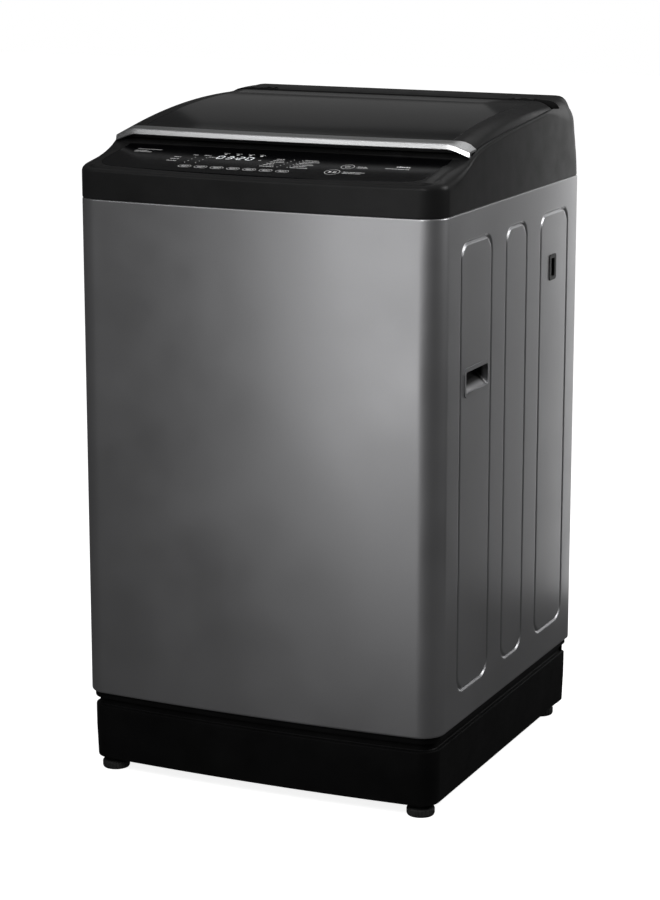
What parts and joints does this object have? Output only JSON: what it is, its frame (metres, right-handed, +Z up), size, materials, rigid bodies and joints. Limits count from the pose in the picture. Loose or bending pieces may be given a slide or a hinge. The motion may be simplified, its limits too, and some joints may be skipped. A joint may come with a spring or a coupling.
{
  "type": "top load washing machine",
  "caption": "Tall box-shaped top load washing machine with sloped control panel, smoked glass lid, ribbed sides and a suspended tub with basket, pulsator and belt drive.",
  "frame": {"origin": "on the floor under the middle of the machine's bounding box", "axes": "+X to the machine's right as seen from the front, +Y to its back, +Z up; the control panel is on the -Y side"},
  "size_m": [0.5826, 0.594, 1.005],
  "materials": {
    "cabinet_paint": "satin dark silver metallic paint",
    "frame_plastic": "charcoal black, satin",
    "skirt_plastic": "black, fine grain",
    "panel_film": null,
    "silver_trim": "bright silver metallised",
    "smoked_glass": "tempered, dark border",
    "stainless": "brushed",
    "zinc_sheet": "galvanised",
    "steel_rod": "zinc plated",
    "light_plastic": "light grey",
    "white_plastic": "white",
    "black_rubber": "black",
    "drive_metal": "die cast",
    "board_green": "coated circuit board"
  },
  "bodies": {
    "cabinet": {"cabinet_wrap": "cabinet_paint", "side_handle_right": "cabinet_paint", "side_handle_left": "cabinet_paint", "hose_hook_socket": "frame_plastic", "rear_panel": "zinc_sheet", "base_skirt": "skirt_plastic", "foot_rear_left": "black_rubber", "foot_rear_right": "black_rubber", "top_frame": "frame_plastic", "control_panel": "panel_film", "control_board": "board_green", "hood_cover": "frame_plastic", "inlet_valve": "white_plastic", "pressure_sensor": "white_plastic", "lid_lock": "white_plastic", "power_cord_gland": "frame_plastic", "drain_outlet": "frame_plastic", "suspension_rod_front_left": "steel_rod", "suspension_rod_front_right": "steel_rod", "suspension_rod_rear_left": "steel_rod", "suspension_rod_rear_right": "steel_rod", "suspension_spring_front_left": "steel_rod", "suspension_spring_front_right": "steel_rod", "suspension_spring_rear_left": "steel_rod", "suspension_spring_rear_right": "steel_rod", "inner_drain_hose": "black_rubber"},
    "lid": {"lid_frame": "frame_plastic", "lid_glass": "smoked_glass", "lid_handle": "silver_trim", "lid_hinge_pin_right": "steel_rod", "lid_hinge_pin_left": "steel_rod"},
    "tub": {"outer_tub": "white_plastic", "tub_cover": "white_plastic", "chassis_plate": "zinc_sheet", "clutch_housing": "drive_metal", "main_bearing": "steel_rod", "shaft_seal": "black_rubber", "drive_motor": "drive_metal", "motor_capacitor": "white_plastic", "drain_valve": "frame_plastic", "drive_belt": "black_rubber"},
    "basket": {"wash_basket": "stainless", "basket_base": "light_plastic", "balance_ring": "light_plastic", "spin_shaft": "steel_rod", "lint_filter_right": "white_plastic", "lint_filter_left": "white_plastic"},
    "pulsator": {"pulsator": "light_plastic", "pulsator_screw": "stainless", "pulsator_shaft": "steel_rod"},
    "drive_pulley": {"drive_pulley": "drive_metal", "reducer_input_shaft": "steel_rod"},
    "motor_rotor": {"motor_pulley": "drive_metal", "motor_shaft": "steel_rod"},
    "drawer": {"detergent_drawer": "light_plastic"},
    "lock_bolt": {"lid_lock_bolt": "steel_rod"},
    "foot_front_left": {"foot_front_left": "black_rubber"},
    "foot_front_right": {"foot_front_right": "black_rubber"}
  },
  "joints": [
    {"name": "lid_hinge", "type": "hinge", "parent": "cabinet", "child": "lid", "pos_m": [0, 0.201, 0.9895], "axis": [-1, 0, 0], "range_deg": [0, 100]},
    {"name": "tub_suspension", "type": "slide", "parent": "cabinet", "child": "tub", "axis": [0, 0, -1], "range_m": [-0.006, 0.02], "stiffness_N_per_m": 12000, "springref_m": -0.0217, "deforming": ["suspension_spring_front_left", "suspension_spring_front_right", "suspension_spring_rear_left", "suspension_spring_rear_right", "inner_drain_hose"]},
    {"name": "basket_spin", "type": "hinge", "parent": "tub", "child": "basket", "pos_m": [0, 0, 0.5], "axis": [0, 0, 1], "continuous": true},
    {"name": "pulsator_spin", "type": "hinge", "parent": "tub", "child": "pulsator", "pos_m": [0, 0, 0.3], "axis": [0, 0, 1], "continuous": true},
    {"name": "drive_pulley_spin", "type": "hinge", "parent": "tub", "child": "drive_pulley", "pos_m": [0, 0, 0.148], "axis": [0, 0, 1], "continuous": true},
    {"name": "motor_spin", "type": "hinge", "parent": "tub", "child": "motor_rotor", "pos_m": [0.165, 0, 0.148], "axis": [0, 0, 1], "continuous": true},
    {"name": "detergent_drawer_slide", "type": "slide", "parent": "cabinet", "child": "drawer", "axis": [0, -1, 0], "range_m": [0, 0.075]},
    {"name": "lid_lock_slide", "type": "slide", "parent": "cabinet", "child": "lock_bolt", "axis": [0, 0, 1], "range_m": [0, 0.008]},
    {"name": "front_left_levelling", "type": "slide", "parent": "cabinet", "child": "foot_front_left", "axis": [0, 0, -1], "range_m": [0, 0.012]},
    {"name": "front_right_levelling", "type": "slide", "parent": "cabinet", "child": "foot_front_right", "axis": [0, 0, -1], "range_m": [0, 0.012]}
  ],
  "couplings": [
    {"joint": "drive_pulley_spin", "follows": "pulsator_spin", "ratio": 4},
    {"joint": "motor_spin", "follows": "pulsator_spin", "ratio": 16.346}
  ]
}
